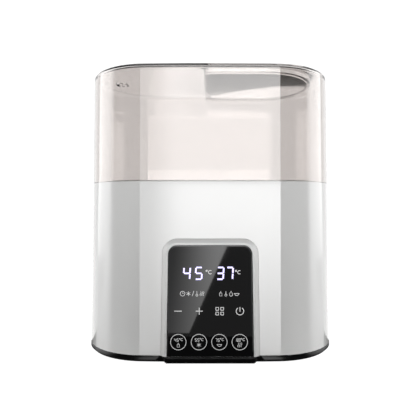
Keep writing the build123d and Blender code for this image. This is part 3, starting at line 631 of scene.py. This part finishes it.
key_paths += [(square + [u, v], False) for u in (6.0, 10.2) for v in (key_level - 2.0, key_level + 2.0)]
key_marks = strokes("key_marks", key_paths, 0.62)
mode_rings = strokes("mode_rings", [circle(u, mode_level, 6.6, steps=64) for u in mode_places], 0.5)
mode_paths = []
for u, text, picture in zip(mode_places, ("45", "55", "75", "100"), (bottle, snowflake, bowl, steam)):
    pitch = 1.7 if len(text) > 2 else 2.1
    start = u - (len(text) * pitch + 2.6) / 2
    mode_paths += number(text, start, mode_level + 0.5, pitch - 0.75, 2.5, pitch, 0.08)
    mode_paths += degree_c(start + len(text) * pitch + 0.3, mode_level + 1.1, 1.3)
    mode_paths += picture(u, mode_level - 2.4, 1.9)
mode_marks = strokes("mode_marks", mode_paths, 0.34)
print("marks:", len(lit_paths), "lit segments,", len(mode_paths), "strokes in the rings")

# %% [markdown]
# ## Smooth copies of the rounded CAD pieces
# The base, the tank, the basket and the feet have the right shape already, but arrive as loose triangles, so
# their round parts would look faceted. A copy with its points merged and smooth shading up to 30 degrees
# stands in for each. Weighted normals keep the flat faces flat.

# %% Merged copies
def smooth_copy(name, node):
    """A merged, smoothly shaded copy of a CAD node."""
    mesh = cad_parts[node].data.copy()
    mesh.name = name
    work = bmesh.new()
    work.from_mesh(mesh)
    bmesh.ops.remove_doubles(work, verts=work.verts, dist=1e-6)
    work.to_mesh(mesh)
    work.free()
    mesh.polygons.foreach_set("use_smooth", np.ones(len(mesh.polygons), bool))
    mesh.set_sharp_from_angle(angle=math.radians(30))
    mesh.materials.clear()
    piece = bpy.data.objects.new(name, mesh)
    bpy.context.scene.collection.objects.link(piece)
    weights = piece.modifiers.new("weighted_normals", "WEIGHTED_NORMAL")
    weights.keep_sharp = True
    return piece


copies = {
    "base_moulding": "base_tray", "tank_moulding": "water_tank", "basket_cage": "bottle_basket",
    "basket_top": "basket_deck", "basket_grip": "basket_handle", "feet_rubber": "rubber_feet",
    "inlet_moulding": "power_inlet",
}
copied = {name: smooth_copy(name, node) for name, node in copies.items()}
print("smooth copies:", ", ".join(copied))

# %% [markdown]
# ## Materials
# Every finish is built from the same two helpers: one turns a colour picked as sRGB hex into linear light,
# and one adds a node with its settings and links. Patterns read object coordinates in metres, so a real size
# in millimetres sets each scale.

# %% Colour and node helpers
def linear(code):
    """Linear RGBA from an sRGB hex colour."""
    channels = np.array([int(code[i:i + 2], 16) for i in (1, 3, 5)]) / 255
    curve = np.where(channels <= 0.04045, channels / 12.92, ((channels + 0.055) / 1.055) ** 2.4)
    return (*map(float, curve), 1.0)


def add(material, kind, settings=None, **links):
    """Adds a node: settings go to its properties or sockets, links join sockets to other nodes' outputs."""
    node = material.node_tree.nodes.new(kind)
    for name, value in (settings or {}).items():
        if hasattr(node, name):
            setattr(node, name, value)
        else:
            node.inputs[int(name) if name.isdigit() else name].default_value = value
    for name, source in links.items():
        socket = node.inputs[int(name[1:]) if name[1:].isdigit() else name.replace("_", " ")]
        material.node_tree.links.new(source, socket)
    return node


def begin(name):
    """A new material with an empty node tree, its output and a Principled shader."""
    material = bpy.data.materials.new(name)
    material.use_nodes = True
    material.node_tree.nodes.clear()
    shader = add(material, "ShaderNodeBsdfPrincipled")
    output = add(material, "ShaderNodeOutputMaterial", Surface=shader.outputs[0])
    output.location = (400, 0)
    return material, shader


def per_mm(size):
    """The noise scale that gives blotches of a size in millimetres."""
    return 1.0 / (size * MM)


def join_surface(material, shader, colour, rough, height, strength, depth_mm):
    """Joins a colour, a roughness and a bump of a depth in millimetres to the shader."""
    settings = {"Strength": strength, "Distance": depth_mm * MM}
    bump = add(material, "ShaderNodeBump", settings, Height=height)
    sources = {"Base Color": colour.outputs[2], "Roughness": rough.outputs[0], "Normal": bump.outputs[0]}
    for socket, source in sources.items():
        material.node_tree.links.new(source, shader.inputs[socket])


def moulded(name, low, high, blotch_mm, grain_mm, grain_depth_mm, roughness, spread=0.05, **sockets):
    """Moulded plastic or rubber: colour drifts between two shades; a fine grain moves roughness and bump."""
    material, shader = begin(name)
    place = add(material, "ShaderNodeTexCoord").outputs["Object"]
    drift = add(material, "ShaderNodeTexNoise", {"Scale": per_mm(blotch_mm), "Detail": 3.0}, Vector=place)
    colour = add(material, "ShaderNodeMix", {"data_type": "RGBA", "6": linear(low), "7": linear(high)},
                 Factor=drift.outputs["Fac"])
    grain = add(material, "ShaderNodeTexNoise", {"Scale": per_mm(grain_mm), "Detail": 4.0}, Vector=place)
    rough = add(material, "ShaderNodeMapRange", {"3": roughness - spread, "4": roughness + spread},
                Value=grain.outputs["Fac"])
    join_surface(material, shader, colour, rough, grain.outputs["Fac"], 0.5, grain_depth_mm)
    for socket, value in sockets.items():
        shader.inputs[socket.replace("_", " ")].default_value = value
    return material


def worked_metal(name, low, high, roughness, grain_mm, stretch, depth_mm=0.01, spread=0.08):
    """Bare metal: stretched noise gives brush or roll lines in its roughness and bump; broad stains drift its
    colour.
    """
    material, shader = begin(name)
    place = add(material, "ShaderNodeTexCoord").outputs["Object"]
    lines = add(material, "ShaderNodeMapping", {"Scale": stretch}, Vector=place)
    fine = {"Scale": per_mm(grain_mm), "Detail": 4.0}
    grain = add(material, "ShaderNodeTexNoise", fine, Vector=lines.outputs[0])
    stain = add(material, "ShaderNodeTexNoise", {"Scale": per_mm(25.0), "Detail": 2.0}, Vector=place)
    colour = add(material, "ShaderNodeMix", {"data_type": "RGBA", "6": linear(low), "7": linear(high)},
                 Factor=stain.outputs["Fac"])
    rough = add(material, "ShaderNodeMapRange", {"3": roughness - spread, "4": roughness + spread},
                Value=grain.outputs["Fac"])
    join_surface(material, shader, colour, rough, grain.outputs["Fac"], 0.4, depth_mm)
    shader.inputs["Metallic"].default_value = 1.0
    return material


# %% [markdown]
# ## The outer finishes
# The housing is ABS from a polished mould: white, with a hard gloss over a faint flow of the melt. The bezel
# is the same plastic made a little brighter: painted light for the bright white of its lit front edge. The
# base is black ABS. The cover is clear polycarbonate with a warm grey tint that each of its two walls
# deepens.

# %% Outer materials
white_abs = moulded("white_abs_gloss", "#DDDDDC", "#E0E0DF", 60.0, 3.0, 0.002, 0.12, 0.02, IOR=1.54,
                    Coat_Weight=1.0, Coat_Roughness=0.03)
# Painted light: the bezel is the housing's plastic in a paler colour, standing for its brightly lit front
# edge.
bezel_abs_painted_pale = moulded("bezel_abs_gloss", "#E8E8E7", "#EBEBEA", 40.0, 2.0, 0.003, 0.18, 0.03, IOR=1.54,
                    Coat_Weight=0.3, Coat_Roughness=0.05)
black_abs = moulded("black_abs_satin", "#030304", "#060607", 30.0, 0.8, 0.006, 0.24, 0.04, IOR=1.5,
                    Specular_IOR_Level=0.3)
foot_rubber = moulded("foot_rubber", "#141414", "#1B1B1B", 8.0, 0.5, 0.03, 0.75, 0.06, IOR=1.5)
tank_pp = moulded("tank_polypropylene", "#F0F0EE", "#F5F5F3", 40.0, 0.9, 0.01, 0.38, 0.05, IOR=1.49)
basket_pp = moulded("basket_polypropylene", "#E4E2DF", "#ECEAE7", 25.0, 0.8, 0.01, 0.42, 0.05, IOR=1.49)

clear_pc, clear_shader = begin("clear_polycarbonate")
for socket, value in {"IOR": 1.58, "Transmission Weight": 1.0}.items():
    clear_shader.inputs[socket].default_value = value
clear_place = add(clear_pc, "ShaderNodeTexCoord").outputs["Object"]
clear_flow = add(clear_pc, "ShaderNodeTexNoise", {"Scale": per_mm(45.0), "Detail": 2.0}, Vector=clear_place)
clear_shades = {"data_type": "RGBA", "6": linear("#E0DCDA"), "7": linear("#E2DEDC")}
clear_tint = add(clear_pc, "ShaderNodeMix", clear_shades, Factor=clear_flow.outputs["Fac"])
clear_rough = add(clear_pc, "ShaderNodeMapRange", {"3": 0.0, "4": 0.02}, Value=clear_flow.outputs["Fac"])
join_surface(clear_pc, clear_shader, clear_tint, clear_rough, clear_flow.outputs["Fac"], 0.15, 0.02)

# %% [markdown]
# ## Glass and light
# The panel is glass printed black on its back, so it is a black surface under a mirror-smooth coat. The lit
# digits are cold white with a violet rim; the printed marks are grey-white ink that glows faintly from
# behind.

# %% Panel materials
panel_black = moulded("back_printed_glass", "#050506", "#08080A", 30.0, 20.0, 0.001, 0.05, 0.015, IOR=1.52)


def lit(name, surface, glow, strength, drift_mm):
    """A lit mark: its glow varies a little along it, as light from a few small lamps does."""
    material, shader = begin(name)
    place = add(material, "ShaderNodeTexCoord").outputs["Object"]
    drift = add(material, "ShaderNodeTexNoise", {"Scale": per_mm(drift_mm), "Detail": 1.0}, Vector=place)
    dim_and_bright = {"3": strength * 0.9, "4": strength * 1.1}
    level = add(material, "ShaderNodeMapRange", dim_and_bright, Value=drift.outputs["Fac"])
    material.node_tree.links.new(level.outputs[0], shader.inputs["Emission Strength"])
    shader.inputs["Base Color"].default_value = linear(surface)
    shader.inputs["Emission Color"].default_value = linear(glow)
    shader.inputs["Roughness"].default_value = 0.4
    return material


digit_light = lit("digit_light", "#D8D0FF", "#E9E4FF", 0.95, 4.0)
glow_light = lit("digit_glow_light", "#2A1E66", "#4A3AB8", 0.35, 4.0)
mark_ink = lit("backlit_white_ink", "#C8C8C8", "#D8D8D8", 0.42, 6.0)
fine_ink = lit("fine_white_ink", "#C8C8C8", "#E0E0E0", 0.5, 6.0)

# %% [markdown]
# ## What is inside
# Hidden pieces keep their CAD shapes and get honest finishes: zinc-plated and brushed steel, mill aluminium,
# brass, silicone, solder mask on the boards, and the usual colours of relays, capacitors and leads.

# %% Inner materials by CAD node
along_x = (0.06, 1.0, 1.0)
zinc = worked_metal("zinc_plated_steel", "#A9ABAD", "#C2C3C2", 0.34, 0.6, (1, 1, 1))
brushed = worked_metal("brushed_stainless", "#B4B4B2", "#C6C5C2", 0.28, 0.5, along_x)
tinted = worked_metal("heat_tinted_sheath", "#6E6259", "#8C8076", 0.42, 0.8, (1, 1, 1))
mill = worked_metal("mill_aluminium", "#C9CACC", "#DADBDC", 0.3, 0.7, along_x)
brass = worked_metal("plain_brass", "#C29A4A", "#D8B566", 0.3, 0.5, (1, 1, 1))
nickel = worked_metal("nickel_plated_brass", "#C9C4B4", "#DAD6C8", 0.22, 0.5, along_x)
solder_mask = moulded("green_solder_mask", "#0B4A22", "#136030", 6.0, 0.6, 0.01, 0.3, 0.06, Coat_Weight=0.4)
silicone = moulded("red_silicone", "#A34631", "#B4543C", 15.0, 0.7, 0.02, 0.55, 0.05)
phenolic = moulded("black_phenolic", "#1A1613", "#241F1B", 6.0, 0.5, 0.02, 0.5, 0.06)
relay_blue = moulded("relay_case_blue", "#1D4C8C", "#265AA0", 12.0, 0.6, 0.01, 0.35, 0.05)
epoxy_yellow = moulded("yellow_capacitor_case", "#C79A1C", "#D6AA2C", 10.0, 0.6, 0.01, 0.4, 0.05)
sleeve_black = moulded("shrunk_sleeve", "#15161C", "#1F2029", 10.0, 0.8, 0.01, 0.28, 0.05, Coat_Weight=0.3)
ferrite = moulded("ferrite_and_tape", "#2B2B2D", "#3A3A3C", 6.0, 0.4, 0.02, 0.6, 0.06)
nylon = moulded("natural_nylon", "#DDD8C8", "#E8E4D6", 10.0, 0.6, 0.01, 0.45, 0.05)
terminal_green = moulded("green_terminal_case", "#1E7A3C", "#278A48", 10.0, 0.6, 0.01, 0.4, 0.05)
ribbon_vinyl = moulded("grey_ribbon_vinyl", "#85868A", "#96979B", 8.0, 0.8, 0.02, 0.5, 0.05)
lead_vinyl = moulded("brown_lead_vinyl", "#6B3A1C", "#7A4626", 8.0, 0.8, 0.01, 0.35, 0.05)
glass_braid = moulded("glass_fibre_braid", "#CFCDC0", "#E2E0D4", 3.0, 0.5, 0.06, 0.8, 0.06)
fuse_glass = moulded("fuse_glass", "#DDE3E2", "#E6ECEB", 8.0, 5.0, 0.001, 0.06, 0.02, Transmission_Weight=0.8)
node_finish = {
    "base_screws": zinc, "tank_screws": zinc, "clamp_screws": zinc, "touch_board_screws": zinc,
    "power_board_screws": zinc, "plate_gasket": silicone, "heating_plate": brushed, "clamp_ring": zinc,
    "heating_element": tinted, "heater_terminals": brass, "thermal_cutout": phenolic, "thermal_fuse": mill,
    "temperature_sensor": brushed, "heat_shield": mill, "touch_board": solder_mask,
    "power_board": solder_mask, "digit_display": ferrite, "touch_springs": brushed,
    "ribbon_cable": ribbon_vinyl, "ribbon_plugs": nylon,
    "relay": relay_blue, "safety_capacitor": epoxy_yellow, "smoothing_capacitors": sleeve_black,
    "transformer": ferrite, "buzzer": phenolic, "mains_fuse": fuse_glass, "terminal_block": terminal_green,
    "inlet_pins": nickel, "inlet_leads": lead_vinyl, "heater_leads": glass_braid,
}
for node, finish in node_finish.items():
    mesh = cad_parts[node].data
    mesh.materials.clear()
    mesh.materials.append(finish)
print("finished CAD nodes:", len(node_finish))

# %% [markdown]
# ## Put together
# Each new piece rides on a body of the CAD model, so it moves when that body moves, and the CAD node that it
# stands for is hidden. Each row also lists the record's slot that its finish belongs to.

# %% Ride, replace and finish
dressing = [
    (housing_shell, "housing", white_abs, "white_plastic", ["outer_housing"]),
    (socket_pad, "housing", white_abs, "white_plastic", []),
    (cover_shell, "cover", clear_pc, "clear_cover", ["clear_cover"]),
    (bezel_frame, "housing", bezel_abs_painted_pale, "bezel_plastic", ["panel_bezel"]),
    (touch_glass, "housing", panel_black, "black_glass", ["control_glass"]),
    (lit_digits, "housing", digit_light, "display_plastic", []),
    (digit_glow, "housing", glow_light, "display_plastic", []),
    (sign_marks, "housing", fine_ink, "black_glass", []),
    (label_marks, "housing", mark_ink, "black_glass", []),
    (key_marks, "housing", fine_ink, "black_glass", []),
    (mode_rings, "housing", mark_ink, "black_glass", []),
    (mode_marks, "housing", fine_ink, "black_glass", []),
    (copied["base_moulding"], "housing", black_abs, "black_plastic", ["base_tray"]),
    (copied["tank_moulding"], "housing", tank_pp, "tank_plastic", ["water_tank"]),
    (copied["feet_rubber"], "housing", foot_rubber, "rubber", ["rubber_feet"]),
    (copied["inlet_moulding"], "housing", black_abs, "inlet_black", ["power_inlet"]),
    (copied["basket_cage"], "basket", basket_pp, "basket_plastic", ["bottle_basket"]),
    (copied["basket_top"], "basket", basket_pp, "basket_plastic", ["basket_deck"]),
    (copied["basket_grip"], "basket", basket_pp, "basket_plastic", ["basket_handle"]),
]
for piece, body, finish, slot, replaced in dressing:
    piece.data.materials.clear()
    piece.data.materials.append(finish)
    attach(piece, body)
    if replaced:
        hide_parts(*replaced)
print("dressed pieces:", len(dressing))

# %% [markdown]
# ## Studio
# The object stands on a pale floor that rises into a backdrop, both of paper that glows a little and so stays
# pale. The floor is in two sheets. The near one is left out of reflections, bounced light and shadows: the
# gloss base and glass would mirror it as a bright band. The far one keeps them and lights the back.

# %% Floor and backdrop
def stage_material(name, code, glow):
    """Matt paper with a little light of its own, so that it stays pale behind the object."""
    material, shader = begin(name)
    shader.inputs["Base Color"].default_value = linear(code)
    shader.inputs["Roughness"].default_value = 0.9
    shader.inputs["Specular IOR Level"].default_value = 0.1
    shader.inputs["Emission Color"].default_value = (1, 1, 1, 1)
    shader.inputs["Emission Strength"].default_value = glow
    return material


def paper(name, profile):
    """A sheet of paper 7 m wide along a profile of y, z points."""
    points = [(x, y, z) for y, z in profile for x in (-3500.0, 3500.0)]
    faces = [(2 * i, 2 * i + 1, 2 * i + 3, 2 * i + 2) for i in range(len(profile) - 1)]
    sheet = to_object(name, points, faces)
    sheet.data.materials.append(white_paper)
    return sheet


white_paper = stage_material("white_paper", "#808080", 1.0)
floor_paper = paper("floor_paper", [(-156.0, -4.0), (-156.0, 0.0), (4.0, 0.0)])
bend = [(1400 + 500 * math.sin(a), 500 * (1 - math.cos(a))) for a in np.linspace(0, math.pi / 2, 13)[1:]]
paper("back_paper", [(4.0, 0.0), (1400.0, 0.0)] + bend + [(1900.0, 3500.0)])
floor_paper.visible_glossy = False
floor_paper.visible_diffuse = False
floor_paper.visible_shadow = False

# %% [markdown]
# ## Softboxes
# Three glowing cards stand one above another behind the camera: their mirror image covers the flat front and
# stops at the creases. Two more stand at the sides and light the round ends. All are hidden from the camera.
# Each one's light changes smoothly from side to side or from foot to top, as through a real diffuser.

# %% Cards of light
def glow_material(name, dim, bright, **spans):
    """Emission only, from dim to bright: along each named axis it grows smoothly between two places in mm."""
    material = bpy.data.materials.new(name)
    material.use_nodes = True
    material.node_tree.nodes.clear()
    place = add(material, "ShaderNodeTexCoord").outputs["Object"]
    parts = add(material, "ShaderNodeSeparateXYZ", Vector=place)
    factor = add(material, "ShaderNodeValue").outputs[0]
    factor.default_value = 1.0
    for axis, (start, end) in spans.items():
        ends = {"interpolation_type": "SMOOTHSTEP", "1": start * MM, "2": end * MM}
        ramp = add(material, "ShaderNodeMapRange", ends, Value=parts.outputs[axis])
        product = add(material, "ShaderNodeMath", {"operation": "MULTIPLY"}, _0=factor, _1=ramp.outputs[0])
        factor = product.outputs[0]
    level = add(material, "ShaderNodeMapRange", {"3": dim, "4": bright}, Value=factor)
    glow = add(material, "ShaderNodeEmission", Strength=level.outputs[0])
    add(material, "ShaderNodeOutputMaterial", Surface=glow.outputs[0])
    return material


def card(name, corners, material):
    """A flat card from four corners in millimetres, seen only as light and in reflections."""
    piece = to_object(name, corners, [(0, 1, 2, 3)])
    piece.data.materials.append(material)
    piece.visible_camera = False
    return piece


def upright_card(name, x, y, z, material):
    """A card across x at one y, facing the object."""
    return card(name, [(x[1], y, z[0]), (x[0], y, z[0]), (x[0], y, z[1]), (x[1], y, z[1])], material)


softbox_width = (-477, 477)
softbox_y = -1500
side_softbox_x = 950
side_corners = [(-400, -450), (420, -450), (420, 800), (-400, 800)]
softboxes = [
    ("lower", (-450, 286), 1.9, 5.5, {"X": (-400, -130), "Z": (-750, 330)}),
    ("upper", (286, 640), 1.4, 3.0, {"X": (-400, -180)}),
    ("high", (640, 1260), 1.6, 4.6, {"X": (-400, -180)}),
]
for name, height, dim, bright, spans in softboxes:
    diffuser = glow_material(name + "_diffuser", dim, bright, **spans)
    upright_card(name + "_softbox", softbox_width, softbox_y, height, diffuser)
for side_name, side in (("left", -1), ("right", 1)):
    diffuser = glow_material("side_diffuser", 0.12, 2.7, Y=(-380, -120), Z=(-600, 350))
    card("side_softbox_" + side_name, [(side * side_softbox_x, y, z) for y, z in side_corners], diffuser)
print("softboxes:", len(softboxes) + 2)

# %% [markdown]
# ## A flag for the glass
# The glass mirrors whatever stands low in front of the object. Two dark cards there, one level and one rising
# away from it, give it a quiet ground, and a third gives a bright wedge with a slanting edge. Each outline
# comes from mirroring the camera in the glass: a point on the glass and the mirrored camera make a line, and
# the card has a corner where that line crosses its plane.

# %% Flag seen in the glass
camera_place = np.array([0.0, -424.4, 134.5])
glass_front = on_panel([[0, 0]], glass_sink)[0]
mirrored_camera = camera_place - 2 * np.dot(camera_place - glass_front, panel_out) * panel_out
flag_near = np.array([-84.0, 1.5])      # y, z of its edge by the object
flag_bend = np.array([-172.0, 1.5])
flag_far = np.array([-400.0, 112.0])


def mirrored_on(glass_uv, start, end):
    """Where the line from the mirrored camera through a glass point crosses the plane from start to end."""
    point = on_panel([glass_uv], glass_sink)[0]
    away = point - mirrored_camera
    along = end - start
    normal = np.array([-along[1], along[0]])
    reach = np.dot(start - mirrored_camera[1:], normal) / np.dot(away[1:], normal)
    return mirrored_camera + reach * away


def flag_piece(name, outline_uv, start, end, material, lift=0.0):
    """A flat card seen in the glass exactly inside an outline drawn on the glass."""
    corners = [mirrored_on(uv, start, end) + [0, 0, lift] for uv in outline_uv]
    return card(name, corners, material)


def dim_material(name, radiance):
    """A plain card with one faint even glow."""
    return glow_material(name, radiance, radiance)


bend_level = 17.5                       # height on the glass where the flag bends up from the table
flag_half = 38.6


def flag_band(low, high):
    """A band across the whole glass between two heights."""
    return [(-flag_half, low), (flag_half, low), (flag_half, high), (-flag_half, high)]


low_cloth = dim_material("flag_low_cloth", 0.05)
flag_piece("flag_low", flag_band(1.0, bend_level), flag_near, flag_bend, low_cloth)
high_cloth = dim_material("flag_high_cloth", 0.25)
flag_piece("flag_high", flag_band(bend_level, 97.0), flag_bend, flag_far, high_cloth)
wedge_left, wedge_right = (mirrored_on((u, 90.0), flag_bend, flag_far)[0] for u in (-36.5, 14.0))
wedge_outline = [(-flag_half, 20.0), (-18.0, 20.0), (15.5, 96.5), (-flag_half, 96.5)]
wedge_light = glow_material("wedge_diffuser", 0.55, 4.2, X=(wedge_left, wedge_right))
flag_piece("flag_wedge", wedge_outline, flag_bend, flag_far, wedge_light, lift=0.5)
print("flag rises from", flag_bend, "to", flag_far, "mm")

# %% [markdown]
# ## Room light
# The rest of the room is a dim even grey. The Standard view keeps the whites of the paper clean.

# %% World and view

world = bpy.data.worlds.new("studio_world")
bpy.context.scene.world = world
world.use_nodes = True
world.node_tree.nodes["Background"].inputs["Color"].default_value = (0.9, 0.9, 0.9, 1)
world.node_tree.nodes["Background"].inputs["Strength"].default_value = 0.05
bpy.context.scene.view_settings.view_transform = "Standard"

# %% [markdown]
# ## Camera
# The camera looks level at the object from 424 mm in front of its middle, 134.5 mm above the table. There
# the roof of the cover is seen from below, through the clear front wall. A lens a little longer than the
# sensor is wide keeps the object large in the frame, and a very small shift sets it just beside the middle.

# %% Camera
camera_data = bpy.data.cameras.new("camera")
camera_data.sensor_width = 36.0
camera_data.lens = 36.58
camera_data.shift_x = -0.0053
camera_data.clip_start = 0.01
camera = bpy.data.objects.new("camera", camera_data)
camera.location = camera_place * MM
camera.rotation_euler = (math.pi / 2, 0, 0)
bpy.context.scene.collection.objects.link(camera)
bpy.context.scene.camera = camera
